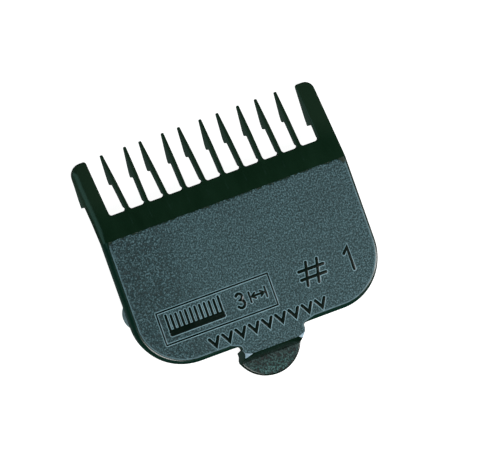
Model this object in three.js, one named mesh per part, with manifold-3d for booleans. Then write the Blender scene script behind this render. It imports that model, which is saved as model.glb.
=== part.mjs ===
// Clipper guard comb, size 1 (3 mm): a clip-on comb for the fixed blade of a hair clipper.
// Units are millimetres. +Z is out of the marked face, +Y points to the tooth tips, the release
// tab is at -Y, and the origin is under the middle of the comb, at the level of the hook tips.

import * as THREE from 'three';
import { mergeVertices } from 'three/addons/utils/BufferGeometryUtils.js';
import Module from 'manifold-3d';

const wasm = await Module();
wasm.setup();

// Overall size and the levels seen from the side
const BODY_WIDTH = 49.2;
const TIP_Y = 24.4;
const PAD_END_Y = -24.4;
const FACE_Z = 6.0;
const FACE_THICKNESS = 1.2;
const FACE_UNDER_Z = FACE_Z - FACE_THICKNESS;

// Face plate and the rails around it
const HALF_BODY = BODY_WIDTH / 2;
const RAIL_WIDTH = 1.0;
const RAIL_DEPTH = 2.2;
const RAIL_FALL = 0.2;
const RAIL_INNER_X = HALF_BODY - RAIL_WIDTH;
const RAIL_LOW_Z = FACE_Z - RAIL_DEPTH;
const REAR_EDGE_Y = -17.05;
const CORNER_RADIUS = 9.4;
const CORNER_X = HALF_BODY - CORNER_RADIUS;
const CORNER_Y = REAR_EDGE_Y + CORNER_RADIUS;
const CORNER_STEPS = 14;

// Blade locating lugs under the side rails
const LUG_Y = -5.15;
const LUG_RADIUS = 3.2;
const LUG_STANDOUT = 0.4;
const LUG_HEIGHT = 0.8;
const LUG_STEPS = 12;

// Front slope: the outer surface falls away evenly from the ridge to the tooth tips
const RIDGE_Y = 9.0;
const SLOPE = 0.3;

// Teeth
const TOOTH_COUNT = 10;
const TOOTH_PITCH = 3.876;
const TOOTH_THICKNESS = 0.62;
const TOOTH_TIP_THICKNESS = 0.32;
const ROOT_Y = 13.9;
const GAP_BOTTOM_Y = 13.35;
const GAP_CORNER_STEPS = 4;
const RIB_DEPTH = 1.55;
const NOTCH_Y = 18.5;
const HOOK_FLAT = 1.2;
const TIP_LOW_Z = 0.85;
const LEAN_FIRST = 0.46;
const LEAN_LAST = 0.05;

// Broad teeth at the two ends of the row
const END_INNER_X = 21.4;
const END_NOTCH_Y = 16.3;
const END_TIP_Y = 24.2;
const END_HOOK_FLAT = 1.5;
const END_TIP_RADIUS = 1.7;
const END_TIP_INNER_RADIUS = 0.5;
const TIP_STEPS = 6;

// Release tab, which flexes about the root of its tongue
const TONGUE_ROOT_HALF = 6.4;
const TONGUE_HALF = 6.0;
const TONGUE_END_Y = -17.9;
const STEP_TOP_Y = -19.15;
const STEP_FOOT_Y = -20.3;
const STEP_CHAMFER_REAR_Y = -19.7;
const STEP_CHAMFER_FRONT_Y = -18.4;
const STEP_CHAMFER_TOP_Z = 1.4;
const PAD_THICKNESS = 1.1;
const PAD_SAGITTA = STEP_FOOT_Y - PAD_END_Y;
const PAD_HALF_CHORD = 5.95;
const PAD_STEPS = 24;
const LIP_HALF = 4.5;
const LIP_REACH = 0.9;
const LIP_NOSE_HEIGHT = 0.3;
const LIP_TOP_Z = 2.2;

// Raised marks on the outer face
const MARK_HEIGHT = 0.15;
const FRAME_BOX = { left: -19.8, right: 3.1, rear: -12.5, front: -6.1 };
const FRAME_LINE = 0.3;
const MARK_REAR_Y = -11.3;
const MARK_FRONT_Y = -6.5;
const MARK_STROKE = 0.55;
const HASH_X = 11.2;
const HASH_WIDTH = 5.6;
const HASH_LEAN = 0.5;
const ONE_X = 19.05;
const ONE_FLAG = 1.3;

// One moulded plastic in two finishes: fine grain on the handled faces, polish elsewhere
const grained = { color: 0x1b2426, roughness: 0.62, metalness: 0 };
const polished = { color: 0x0d1512, roughness: 0.34, metalness: 0 };

const comb = new THREE.Group();

function addPart(name, geometry, finish) {
  const mesh = new THREE.Mesh(geometry, new THREE.MeshStandardMaterial(finish));
  mesh.name = name;
  comb.add(mesh);
}

// Height of the outer surface at a distance y along the comb
function outerZ(y) {
  return FACE_Z - SLOPE * Math.max(0, y - RIDGE_Y);
}

// Height of the rails' lower edge, which carries on under the end teeth
function railZ(y) {
  return RAIL_LOW_Z - RAIL_FALL * Math.max(0, y - RIDGE_Y);
}

function shapeOf(points) {
  return new THREE.Shape(points.map(([a, b]) => new THREE.Vector2(a, b)));
}

// Points of a round stretch about (cx, cy), from one angle to another in degrees
function arc(cx, cy, radius, from, to, steps) {
  return Array.from({ length: steps + 1 }, (_, i) => {
    const angle = THREE.MathUtils.degToRad(from + ((to - from) * i) / steps);
    return [cx + radius * Math.cos(angle), cy + radius * Math.sin(angle)];
  });
}

// Solid with an outline seen from above, between two heights
function slab(points, low, high) {
  const options = { depth: high - low, bevelEnabled: false };
  return new THREE.ExtrudeGeometry(shapeOf(points), options).translate(0, 0, low);
}

// Solid with an outline seen from the side, as (y, z) points, between two x positions
const sideways = new THREE.Matrix4().makeBasis(
  new THREE.Vector3(0, 1, 0),
  new THREE.Vector3(0, 0, 1),
  new THREE.Vector3(1, 0, 0),
);

function sideSolid(points, left, right) {
  const options = { depth: right - left, bevelEnabled: false };
  const solid = new THREE.ExtrudeGeometry(shapeOf(points), options);
  return solid.applyMatrix4(sideways).translate(left, 0, 0);
}

function toManifold(geometry) {
  geometry.deleteAttribute('normal');
  geometry.deleteAttribute('uv');
  const merged = mergeVertices(geometry);
  return new wasm.Manifold(new wasm.Mesh({
    numProp: 3,
    vertProperties: merged.attributes.position.array,
    triVerts: Uint32Array.from(merged.index.array),
  }));
}

// The space that two solids share: an outline from above cut by a profile from the side
function common(first, second) {
  const mesh = toManifold(first).intersect(toManifold(second)).getMesh();
  const geometry = new THREE.BufferGeometry();
  geometry.setAttribute('position', new THREE.BufferAttribute(mesh.vertProperties, 3));
  geometry.setIndex(new THREE.BufferAttribute(mesh.triVerts, 1));
  geometry.computeVertexNormals();
  return geometry;
}

// Side profile between the outer surface and an underside given as (y, z) points
function belowSurface(underside) {
  const [from] = underside[0];
  const [to] = underside[underside.length - 1];
  return [...underside, [to, outerZ(to)], [from, outerZ(from)]];
}

function mirrorX(points) {
  return points.map(([x, y]) => [-x, y]).reverse();
}

// Flat plate that lies on the clipper's blade; it reaches the rear edge between the rear rails
function buildFacePlate() {
  const right = [
    [TONGUE_ROOT_HALF, REAR_EDGE_Y], [TONGUE_ROOT_HALF, REAR_EDGE_Y + RAIL_WIDTH],
    ...arc(CORNER_X, CORNER_Y, CORNER_RADIUS - RAIL_WIDTH, -90, 0, CORNER_STEPS),
    [RAIL_INNER_X, RIDGE_Y],
  ];
  const left = mirrorX(right);
  addPart('face_plate', slab([...right, ...left], FACE_UNDER_Z, FACE_Z), grained);
}

// Rails that run round the plate: side, corner and rear on each side
function buildRails(side, sign) {
  const place = (points) => (sign > 0 ? points : mirrorX(points));
  const rail = (points) => slab(place(points), RAIL_LOW_Z, FACE_Z);
  const sideRail = [
    [RAIL_INNER_X, CORNER_Y], [HALF_BODY, CORNER_Y],
    [HALF_BODY, RIDGE_Y], [RAIL_INNER_X, RIDGE_Y],
  ];
  const outer = arc(CORNER_X, CORNER_Y, CORNER_RADIUS, -90, 0, CORNER_STEPS);
  const inner = arc(CORNER_X, CORNER_Y, CORNER_RADIUS - RAIL_WIDTH, 0, -90, CORNER_STEPS);
  const rearRail = [
    [TONGUE_ROOT_HALF, REAR_EDGE_Y], [CORNER_X, REAR_EDGE_Y],
    [CORNER_X, REAR_EDGE_Y + RAIL_WIDTH], [TONGUE_ROOT_HALF, REAR_EDGE_Y + RAIL_WIDTH],
  ];
  addPart(`side_rail_${side}`, rail(sideRail), polished);
  addPart(`corner_rail_${side}`, rail([...outer, ...inner]), polished);
  addPart(`rear_rail_${side}`, rail(rearRail), polished);
}

// Half-round lugs under the side rails, which keep the blade centred
function buildLug(side, sign) {
  const centreX = HALF_BODY + LUG_STANDOUT - LUG_RADIUS;
  const reach = THREE.MathUtils.radToDeg(Math.acos((RAIL_INNER_X - centreX) / LUG_RADIUS));
  const outline = arc(centreX, LUG_Y, LUG_RADIUS, -reach, reach, LUG_STEPS);
  const placed = sign > 0 ? outline : mirrorX(outline);
  addPart(`locating_lug_${side}`, slab(placed, RAIL_LOW_Z - LUG_HEIGHT, RAIL_LOW_Z), polished);
}

// Sloped bar that the teeth grow from, with a rounded bottom to each gap
function buildFrontSlope() {
  const half = TOOTH_THICKNESS / 2;
  const round = ROOT_Y - GAP_BOTTOM_Y;
  const roots = Array.from({ length: TOOTH_COUNT }, (_, i) => toothX(i + 1));
  const starts = [-END_INNER_X, ...roots.map((x) => x + half)];
  const ends = [...roots.map((x) => x - half), END_INNER_X];
  const gaps = starts.flatMap((start, i) => [
    ...arc(start + round, ROOT_Y, round, 180, 270, GAP_CORNER_STEPS),
    ...arc(ends[i] - round, ROOT_Y, round, 270, 360, GAP_CORNER_STEPS),
  ]);
  const outline = [
    [RAIL_INNER_X, RIDGE_Y], [-RAIL_INNER_X, RIDGE_Y], [-RAIL_INNER_X, ROOT_Y],
    ...gaps, [RAIL_INNER_X, ROOT_Y],
  ].reverse();
  const profile = belowSurface([RIDGE_Y, ROOT_Y].map((y) => [y, outerZ(y) - FACE_THICKNESS]));
  const reach = HALF_BODY + 1;
  const plan = slab(outline, 0, FACE_Z + 1);
  addPart('front_slope', common(plan, sideSolid(profile, -reach, reach)), polished);
}

// Sides of the sloped bar, in line with the side rails
function buildFrontRail(side, sign) {
  const profile = belowSurface([RIDGE_Y, ROOT_Y].map((y) => [y, railZ(y)]));
  const left = sign > 0 ? RAIL_INNER_X : -HALF_BODY;
  addPart(`front_rail_${side}`, sideSolid(profile, left, left + RAIL_WIDTH), polished);
}

function toothX(number) {
  return (number - (TOOTH_COUNT + 1) / 2) * TOOTH_PITCH;
}

// Sideways lean of a tooth tip: neighbours lean opposite ways, least at the last tooth
function toothLean(number) {
  const share = (number - 1) / (TOOTH_COUNT - 1);
  const amount = LEAN_FIRST + (LEAN_LAST - LEAN_FIRST) * share;
  return number % 2 ? -amount : amount;
}

// A slim tooth in two parts: the rib over the blade, and the hook in front of the blade's teeth
function buildTooth(number) {
  const label = String(number).padStart(2, '0');
  const centre = (y) => toothX(number) + (toothLean(number) * (y - ROOT_Y)) / (TIP_Y - ROOT_Y);
  const half = TOOTH_THICKNESS / 2;
  const tip = TOOTH_TIP_THICKNESS / 2;
  const reach = HALF_BODY + 1;

  const ribPlan = [
    [centre(ROOT_Y) - half, ROOT_Y], [centre(ROOT_Y) + half, ROOT_Y],
    [centre(NOTCH_Y) + half, NOTCH_Y], [centre(NOTCH_Y) - half, NOTCH_Y],
  ];
  const ribUnder = [ROOT_Y, NOTCH_Y].map((y) => [y, outerZ(y) - RIB_DEPTH]);
  const ribSide = sideSolid(belowSurface(ribUnder), -reach, reach);
  addPart(`tooth_rib_${label}`, common(slab(ribPlan, -1, FACE_Z), ribSide), polished);

  const hookPlan = [
    [centre(NOTCH_Y) - half, NOTCH_Y], [centre(NOTCH_Y) + half, NOTCH_Y],
    ...arc(centre(TIP_Y - tip), TIP_Y - tip, tip, 0, 180, TIP_STEPS),
  ];
  const hookUnder = [[NOTCH_Y, 0], [NOTCH_Y + HOOK_FLAT, 0], [TIP_Y, TIP_LOW_Z]];
  const hookSide = sideSolid(belowSurface(hookUnder), -reach, reach);
  addPart(`tooth_hook_${label}`, common(slab(hookPlan, -1, FACE_Z), hookSide), polished);
}

// Broad end tooth, split the same way, with a rounded outer corner at its tip
function buildEndTooth(side, sign) {
  const place = (points) => (sign > 0 ? points : mirrorX(points));
  const reach = HALF_BODY + 1;

  const ribPlan = [
    [END_INNER_X, ROOT_Y], [HALF_BODY, ROOT_Y],
    [HALF_BODY, END_NOTCH_Y], [END_INNER_X, END_NOTCH_Y],
  ];
  const ribUnder = [ROOT_Y, END_NOTCH_Y].map((y) => [y, railZ(y)]);
  const ribSide = sideSolid(belowSurface(ribUnder), -reach, reach);
  addPart(`end_tooth_${side}`, common(slab(place(ribPlan), -1, FACE_Z), ribSide), polished);

  const outerTip = END_TIP_Y - END_TIP_RADIUS;
  const innerTip = END_TIP_Y - END_TIP_INNER_RADIUS;
  const hookPlan = [
    [END_INNER_X, END_NOTCH_Y], [HALF_BODY, END_NOTCH_Y],
    ...arc(HALF_BODY - END_TIP_RADIUS, outerTip, END_TIP_RADIUS, 0, 90, TIP_STEPS),
    ...arc(END_INNER_X + END_TIP_INNER_RADIUS, innerTip, END_TIP_INNER_RADIUS, 90, 180, TIP_STEPS),
  ];
  const hookUnder = [[END_NOTCH_Y, 0], [END_NOTCH_Y + END_HOOK_FLAT, 0], [TIP_Y, TIP_LOW_Z]];
  const hookSide = sideSolid(belowSurface(hookUnder), -reach, reach);
  addPart(`end_hook_${side}`, common(slab(place(hookPlan), -1, FACE_Z), hookSide), polished);
}

// Tongue, sloped step, thumb pad and catch lip: the release tab
function buildReleaseTab() {
  const tongue = [
    [-TONGUE_ROOT_HALF, REAR_EDGE_Y], [-TONGUE_HALF, TONGUE_END_Y],
    [TONGUE_HALF, TONGUE_END_Y], [TONGUE_ROOT_HALF, REAR_EDGE_Y],
  ];
  addPart('tab_tongue', slab(tongue, FACE_UNDER_Z, FACE_Z), grained);

  const step = [
    [TONGUE_END_Y, FACE_Z], [STEP_TOP_Y, FACE_Z], [STEP_FOOT_Y, PAD_THICKNESS],
    [STEP_FOOT_Y, 0], [STEP_CHAMFER_REAR_Y, 0], [STEP_CHAMFER_FRONT_Y, STEP_CHAMFER_TOP_Z],
    [TONGUE_END_Y, FACE_UNDER_Z],
  ];
  addPart('tab_step', sideSolid(step, -TONGUE_HALF, TONGUE_HALF), polished);

  const radius = (PAD_HALF_CHORD ** 2 + PAD_SAGITTA ** 2) / (2 * PAD_SAGITTA);
  const spread = THREE.MathUtils.radToDeg(Math.asin(PAD_HALF_CHORD / radius));
  const pad = arc(0, PAD_END_Y + radius, radius, -90 - spread, -90 + spread, PAD_STEPS);
  addPart('thumb_pad', slab(pad, 0, PAD_THICKNESS), grained);

  const noseY = STEP_CHAMFER_FRONT_Y + LIP_REACH;
  const wallShare = (LIP_TOP_Z - STEP_CHAMFER_TOP_Z) / (FACE_UNDER_Z - STEP_CHAMFER_TOP_Z);
  const wallY = STEP_CHAMFER_FRONT_Y + wallShare * (TONGUE_END_Y - STEP_CHAMFER_FRONT_Y);
  const lip = [
    [STEP_CHAMFER_FRONT_Y, STEP_CHAMFER_TOP_Z], [noseY, LIP_TOP_Z - LIP_NOSE_HEIGHT],
    [noseY, LIP_TOP_Z], [wallY, LIP_TOP_Z],
  ];
  addPart('catch_lip', sideSolid(lip, -LIP_HALF, LIP_HALF), polished);
}

// A thin raised frame, a hash sign and the numeral 1 on the outer face
function buildMarks() {
  const { left, right, rear, front } = FRAME_BOX;
  const outline = shapeOf([[left, rear], [right, rear], [right, front], [left, front]]);
  const inset = FRAME_LINE;
  outline.holes.push(new THREE.Path([
    new THREE.Vector2(left + inset, rear + inset), new THREE.Vector2(left + inset, front - inset),
    new THREE.Vector2(right - inset, front - inset), new THREE.Vector2(right - inset, rear + inset),
  ]));
  const options = { depth: MARK_HEIGHT, bevelEnabled: false };
  const frame = new THREE.ExtrudeGeometry(outline, options).translate(0, 0, FACE_Z);
  addPart('label_frame', frame, grained);
  addPart('size_hash', buildHash(), grained);

  const half = MARK_STROKE / 2;
  const one = [
    [ONE_X - half, MARK_REAR_Y], [ONE_X + half, MARK_REAR_Y], [ONE_X + half, MARK_FRONT_Y],
    [ONE_X - half, MARK_FRONT_Y], [ONE_X - ONE_FLAG, MARK_FRONT_Y - ONE_FLAG],
    [ONE_X - ONE_FLAG, MARK_FRONT_Y - ONE_FLAG - MARK_STROKE],
    [ONE_X - half, MARK_FRONT_Y - 2 * MARK_STROKE],
  ];
  addPart('size_numeral', slab(one, FACE_Z, FACE_Z + MARK_HEIGHT), grained);
}

// Two leaning uprights joined by two bars
function buildHash() {
  const high = FACE_Z + MARK_HEIGHT;
  const third = (MARK_FRONT_Y - MARK_REAR_Y) / 3;
  const bars = [MARK_REAR_Y + third, MARK_FRONT_Y - third].map((y) => [
    [HASH_X - HASH_WIDTH / 2, y - MARK_STROKE / 2], [HASH_X + HASH_WIDTH / 2, y - MARK_STROKE / 2],
    [HASH_X + HASH_WIDTH / 2, y + MARK_STROKE / 2], [HASH_X - HASH_WIDTH / 2, y + MARK_STROKE / 2],
  ]);
  const uprights = [-1, 1].map((sign) => {
    const x = HASH_X + (sign * HASH_WIDTH) / 5;
    const half = MARK_STROKE / 2;
    return [
      [x - HASH_LEAN - half, MARK_REAR_Y], [x - HASH_LEAN + half, MARK_REAR_Y],
      [x + HASH_LEAN + half, MARK_FRONT_Y], [x + HASH_LEAN - half, MARK_FRONT_Y],
    ];
  });
  const strokes = [...bars, ...uprights].map((points) => toManifold(slab(points, FACE_Z, high)));
  const mesh = strokes.reduce((whole, stroke) => whole.add(stroke)).getMesh();
  const geometry = new THREE.BufferGeometry();
  geometry.setAttribute('position', new THREE.BufferAttribute(mesh.vertProperties, 3));
  geometry.setIndex(new THREE.BufferAttribute(mesh.triVerts, 1));
  geometry.computeVertexNormals();
  return geometry;
}

buildFacePlate();
buildFrontSlope();
for (const [side, sign] of [['left', -1], ['right', 1]]) {
  buildRails(side, sign);
  buildLug(side, sign);
  buildFrontRail(side, sign);
  buildEndTooth(side, sign);
}
for (let number = 1; number <= TOOTH_COUNT; number += 1) buildTooth(number);
buildReleaseTab();
buildMarks();

export default comb;
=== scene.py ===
import math

import bmesh
import bpy
from mathutils import Matrix, Vector


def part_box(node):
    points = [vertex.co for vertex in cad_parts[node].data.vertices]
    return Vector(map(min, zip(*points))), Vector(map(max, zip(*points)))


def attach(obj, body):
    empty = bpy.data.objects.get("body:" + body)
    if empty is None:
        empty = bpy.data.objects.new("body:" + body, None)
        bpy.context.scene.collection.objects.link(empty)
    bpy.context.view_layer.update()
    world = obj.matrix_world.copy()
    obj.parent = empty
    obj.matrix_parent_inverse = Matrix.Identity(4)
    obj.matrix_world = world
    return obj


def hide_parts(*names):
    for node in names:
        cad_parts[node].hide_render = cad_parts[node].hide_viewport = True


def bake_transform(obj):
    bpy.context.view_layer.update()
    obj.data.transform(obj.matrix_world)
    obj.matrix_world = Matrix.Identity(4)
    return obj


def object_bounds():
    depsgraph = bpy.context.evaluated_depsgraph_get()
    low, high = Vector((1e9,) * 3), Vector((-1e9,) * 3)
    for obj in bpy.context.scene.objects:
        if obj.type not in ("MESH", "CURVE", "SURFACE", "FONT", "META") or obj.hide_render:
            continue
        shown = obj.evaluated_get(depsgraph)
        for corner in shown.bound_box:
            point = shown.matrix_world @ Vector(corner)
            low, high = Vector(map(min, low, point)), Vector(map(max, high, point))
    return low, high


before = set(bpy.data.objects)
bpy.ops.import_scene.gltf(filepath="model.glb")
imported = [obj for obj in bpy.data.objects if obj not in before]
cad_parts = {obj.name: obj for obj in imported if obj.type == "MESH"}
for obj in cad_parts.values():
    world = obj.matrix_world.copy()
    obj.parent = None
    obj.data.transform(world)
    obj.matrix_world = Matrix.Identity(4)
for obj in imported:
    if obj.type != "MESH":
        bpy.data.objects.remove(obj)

CAD_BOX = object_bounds()
MM = 0.001

# Camera: the comb lies turned, and is seen from a little to its left
TILT = math.radians(17.0)
PITCH = math.radians(2.2)
ROLL = math.radians(19.5)
DISTANCE = 2.5
VIEW_WIDTH = 0.08774
SENSOR = 36.0
CLIP_NEAR = 0.1
CLIP_FAR = 10.0
SHIFT_RIGHT = -0.20 * MM
SHIFT_UP = 2.71 * MM

# Studio: a faint sky with a brighter low left, three soft lights and a pale floor
SKY_COLOUR = (0.6, 0.92, 0.85, 1)
LOW_GLOW = 0.02
LEFT_GLOW = 0.14
SKY_GLOW = 0.05
LEFT_BAND = (-0.25, 0.05)
HORIZON_BAND = (-0.15, 0.05)
FLOOR_GAP = 0.03 * MM
FLOOR_HALF = 1.5
FLOOR_GLOW = 0.97

# Places and sizes read from the frame
PLATE_LOW, PLATE_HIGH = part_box("face_plate")
FACE_Z = PLATE_HIGH.z
UNDER_Z = PLATE_LOW.z
THICKNESS = FACE_Z - UNDER_Z
RIDGE_Y = PLATE_HIGH.y
REAR_LIP = 0.08 * MM
REAR_Y = PLATE_LOW.y - REAR_LIP
INNER_X = PLATE_HIGH.x
RAIL_LOW, RAIL_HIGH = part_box("side_rail_right")
HALF_BODY = RAIL_HIGH.x
RAIL_Z = RAIL_LOW.z
RIGHT_SWELL = 0.12 * MM
HALF_RIGHT = HALF_BODY + RIGHT_SWELL
SLOPE_LOW, SLOPE_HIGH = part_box("front_slope")
ROOT_Y = SLOPE_HIGH.y
SLOPE = (UNDER_Z - SLOPE_LOW.z) / (ROOT_Y - RIDGE_Y)
RAIL_FALL = (RAIL_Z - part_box("front_rail_right")[0].z) / (ROOT_Y - RIDGE_Y)
END_LOW, END_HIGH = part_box("end_tooth_right")
END_INNER_X = END_LOW.x
END_INNER_LEFT = END_INNER_X - 0.18 * MM
END_NOTCH_Y = END_HIGH.y
END_TIP_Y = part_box("end_hook_right")[1].y
TONGUE_LOW, TONGUE_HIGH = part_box("tab_tongue")
STEP_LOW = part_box("tab_step")[0]
PAD_LOW, PAD_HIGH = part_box("thumb_pad")
LIP_LOW, LIP_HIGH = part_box("catch_lip")

# Seen rear corners as (reach along x, reach along y), left and right
LEFT_CORNER = (10.4 * MM, 9.5 * MM)
RIGHT_CORNER = (9.9 * MM, 10.0 * MM)

# Roundings and details finer than the frame holds
ARC_STEPS = 8
EDGE_STEPS = 5
MITRE_LIMIT = 0.5
LEFT_ROUND = 0.8 * MM
RIGHT_ROUND = 0.45 * MM
LEFT_SHOULDER_ROUND = 1.5 * MM
RIGHT_SHOULDER_ROUND = 0.4 * MM
SHOULDER_FROM = 7.5 * MM
SHOULDER_TO = 11.5 * MM
REAR_ROUND = 0.7 * MM
# The next width is that of the strip of painted highlight round each grained top
HIGHLIGHT_STRIP_WIDTH = 0.22 * MM
TONGUE_ROUND = 0.2 * MM
GAP_ROUND = 0.15 * MM
INNER_ROUND = 0.25 * MM
LOWER_ROUND = 0.35 * MM
LUG_ROUND = 0.2 * MM
LUG_LIFT = 0.03 * MM
LUG_TOP = 0.1 * MM
CORNER_LIFT = 0.8 * MM
HOOK_ROUND = 0.25 * MM
ROOT_FILLET = 0.55 * MM
TONGUE_HALF = 6.4 * MM
STEP_HALF = 5.95 * MM
STEP_TOP_Y = -19.15 * MM
STEP_END_ROUND = 0.7 * MM
FACET_REACH = 1.3 * MM
FACET_WAY = (0.31, -0.83, 0.46)
FACET_ACROSS = 0.25
FACET_UP = 0.42
FACET_LOW_Z = UNDER_Z - 1 * MM
LEVEL_FACE = 0.99
PAD_ROUND = 0.3 * MM
PAD_TOP = PAD_HIGH.z + 0.4 * MM
PAD_SUNK = 0.4 * MM
FOOT_HALF = 6.05 * MM
FOOT_Y = STEP_LOW.y - 0.2 * MM
FOOT_LOW_Z = 0.2 * MM
UNDERCUT = ((0.0, FOOT_LOW_Z), (0.6 * MM, 0.0), (2.1 * MM, 1.6 * MM))
PLAN_MARGIN = 0.1 * MM
WALL_MARGIN = 0.1 * MM
WALL_END_X = 5 * MM
WALL_MIN_RISE = 2 * MM
BLANK_SIZE = 12 * MM
LIP_NOSE = 0.3 * MM
LIP_ROUND = 0.12 * MM
FLEX_Y = REAR_Y - 0.05 * MM

REAR_STOPS = (6 * MM, 3 * MM)
SHOULDER_STEPS = 8
TONGUE_SLICES = 8
TAB_GAP = 0.5 * MM

GAP_RADIUS = 0.55 * MM
GAP_STEPS = 6
STUB = 0.3 * MM
END_CUT_X = END_INNER_LEFT - 0.1 * MM
END_INNER_FROM = ROOT_Y + 1 * MM
LEFT_TIP_RADIUS = 2.2 * MM
RIGHT_TIP_RADIUS = 1.7 * MM
END_TIP_INNER_RADIUS = 0.5 * MM
END_TIP_RUN = 2 * MM
END_HOOK_FLAT = 1.5 * MM

TOOTH_COUNT = 10
TOOTH_HALF = 0.31 * MM
TOOTH_SWELL = 0.09 * MM
TOOTH_SHIFT = -0.09 * MM
TOOTH_TIP_HALF = 0.2 * MM
TOOTH_TIP_BACK = 0.13 * MM
TOOTH_ROUND = 0.19 * MM
TOOTH_SUNK = 3.2 * MM
TOOTH_PROUD = 0.05 * MM
TOOTH_ROOT_DEPTH = 0.9 * MM
TOOTH_NOSE = 0.24 * MM
RIB_FROM = ROOT_Y - 0.2 * MM
RIB_FULL_FROM = ROOT_Y + 0.1 * MM
RIB_DEPTH = 1.55 * MM
NOTCH_FILLET = 0.3 * MM
NOTCH_STEPS = 5
NOSE_ARC = (-85, 75)
NOSE_STEPS = 6
HOOK_CORNER = 0.35 * MM
HOOK_FLAT = 1.2 * MM
TIP_LOW_Z = 0.85 * MM
TAPER_Y = 19.0 * MM

MARK_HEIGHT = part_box("label_frame")[1].z - FACE_Z
MARK_STROKE = 0.6 * MM
MARK_FOOT = 0.15 * MM
MARK_FOOT_HEIGHT = 0.03 * MM
MARK_DROP = 0.003 * MM
MARK_ROUND = 0.08 * MM
MARK_FOOT_ROUND = 0.02 * MM
MARK_SUNK = 0.1 * MM
CAP_STEPS = 6
TINE_DROP = 0.02 * MM
FRAME_LINE = 0.3 * MM
HASH_LEAN = 0.5 * MM
COMB_FROM = 1.6 * MM
COMB_TO = 12.2 * MM
COMB_BELOW = 1.5 * MM
COMB_ABOVE = 1.9 * MM
SPINE_PITCH = 0.5 * MM
SPINE_HALF = 0.35 * MM
TINE_COUNT = 12
TINE_HALF = 0.24 * MM
OUTER_TINE_MORE = 0.3 * MM
NUMERAL_AT = 16.0 * MM
NUMERAL_HALF = 1.35 * MM
NUMERAL_STROKE = 0.27 * MM
THREE_UPPER = 0.62 * MM
THREE_LOWER = 0.73 * MM
SIGN_FROM = 18.0 * MM
SIGN_BEFORE_END = 1.4 * MM
SIGN_HALF = 0.2 * MM
TICK_HALF = 0.95 * MM
ARROW_INSET = 0.35 * MM
ARROW_LENGTH = 0.7 * MM
ARROW_HALF = 0.5 * MM
CHEVRON_COUNT = 9
CHEVRON_PITCH = 2.7 * MM
CHEVRON_Y = -14.8 * MM
CHEVRON_WIDTH = 1.8 * MM
CHEVRON_HEIGHT = 1.5 * MM
CHEVRON_HALF = 0.31 * MM

# Places of the materials on a piece, after the polished one; the first is a painted highlight
PAINTED_HIGHLIGHT, GRAINED, PAD_GRAINED = 1, 2, 3

# Faces that turn by less than this many degrees are shaded as one surface
SHARP_ANGLE = 35

# Points this near, and faces this near to one plane, are taken as one
SAME_PLACE = 1e-7
SAME_PLANE = math.radians(1)

# A level prism reaches this far up and down before its faces are moved to their heights
LEVEL = 10 * MM


def outer_z(y):
    return FACE_Z - SLOPE * max(0.0, y - RIDGE_Y)


def rail_z(y):
    return RAIL_Z - RAIL_FALL * max(0.0, y - RIDGE_Y)


def arc(cx, cy, radius, start, end, steps=ARC_STEPS):
    angles = [math.radians(start + (end - start) * i / steps) for i in range(steps + 1)]
    return [(cx + radius * math.cos(a), cy + radius * math.sin(a)) for a in angles]


def corner_bend(half_body, reach, shrink=0.0):
    """The right rear corner as a quarter of an ellipse, from the rear edge to the side."""
    across, along = reach
    turns = [math.radians(-90 + 90 * i / (4 * ARC_STEPS)) for i in range(4 * ARC_STEPS + 1)]
    return [(half_body - across + (across - shrink) * math.cos(t),
             REAR_Y + along + (along - shrink) * math.sin(t)) for t in turns]


def inset(points, amounts):
    """Moves each point of a counter-clockwise outline inwards by its own amount."""
    moved = []
    count = len(points)
    for i, (x, y) in enumerate(points):
        before = Vector((x, y)) - Vector(points[i - 1])
        after = Vector(points[(i + 1) % count]) - Vector((x, y))
        first = Vector((-before.y, before.x)).normalized()
        second = Vector((-after.y, after.x)).normalized()
        middle = (first + second).normalized()
        reach = amounts[i] / max(MITRE_LIMIT, middle.dot(first))
        moved.append((x + middle.x * reach, y + middle.y * reach))
    return moved


def rim_angles(rounds):
    """Angles along a rounded rim: one alone where there is no rounding."""
    steps = EDGE_STEPS if max(rounds) > 0 else 0
    return [math.radians(90 * i / max(1, steps)) for i in range(steps + 1)]


def lower_rim(bm, points, rounds, low):
    rings = []
    for angle in rim_angles(rounds):
        ring = inset(points, [r * (1 - math.sin(angle)) for r in rounds])
        rise = 1 - math.cos(angle)
        rings.append([bm.verts.new((x, y, low + r * rise)) for (x, y), r in zip(ring, rounds)])
    return rings


def upper_rim(bm, points, rounds, high):
    rings = []
    for angle in rim_angles(rounds):
        ring = inset(points, [r * (1 - math.cos(angle)) for r in rounds])
        rise = math.sin(angle)
        rings.append([
            bm.verts.new((x, y, high - r + r * rise)) for (x, y), r in zip(ring, rounds)
        ])
    return rings


def add_wall(bm, under, over):
    """Faces between two closed rings of as many points."""
    count = len(under)
    turns = [(i, (i + 1) % count) for i in range(count)]
    return [bm.faces.new((under[i], under[j], over[j], over[i])) for i, j in turns]


def rounded_solid(points, upper_rounds, lower_rounds, high=LEVEL, low=-LEVEL, border=0.0):
    """A closed prism over an outline, its upper and lower rims rounded over.

    With a border, the flat top is grained and a strip of that width round it gets a painted
    highlight."""
    bm = bmesh.new()
    upper_rounds, lower_rounds = [
        [rounds] * len(points) if isinstance(rounds, float) else rounds
        for rounds in (upper_rounds, lower_rounds)
    ]
    rings = lower_rim(bm, points, lower_rounds, low) + upper_rim(bm, points, upper_rounds, high)
    if border > 0:
        ring = inset(points, [r + border for r in upper_rounds])
        rings.append([bm.verts.new((x, y, high)) for x, y in ring])
    for under, over in zip(rings, rings[1:]):
        strip = add_wall(bm, under, over)
    top = bm.faces.new(rings[-1])
    if border > 0:
        for face in strip:
            face.material_index = PAINTED_HIGHLIGHT
        top.material_index = GRAINED
    bm.faces.new(list(reversed(rings[0])))
    return bm


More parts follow.
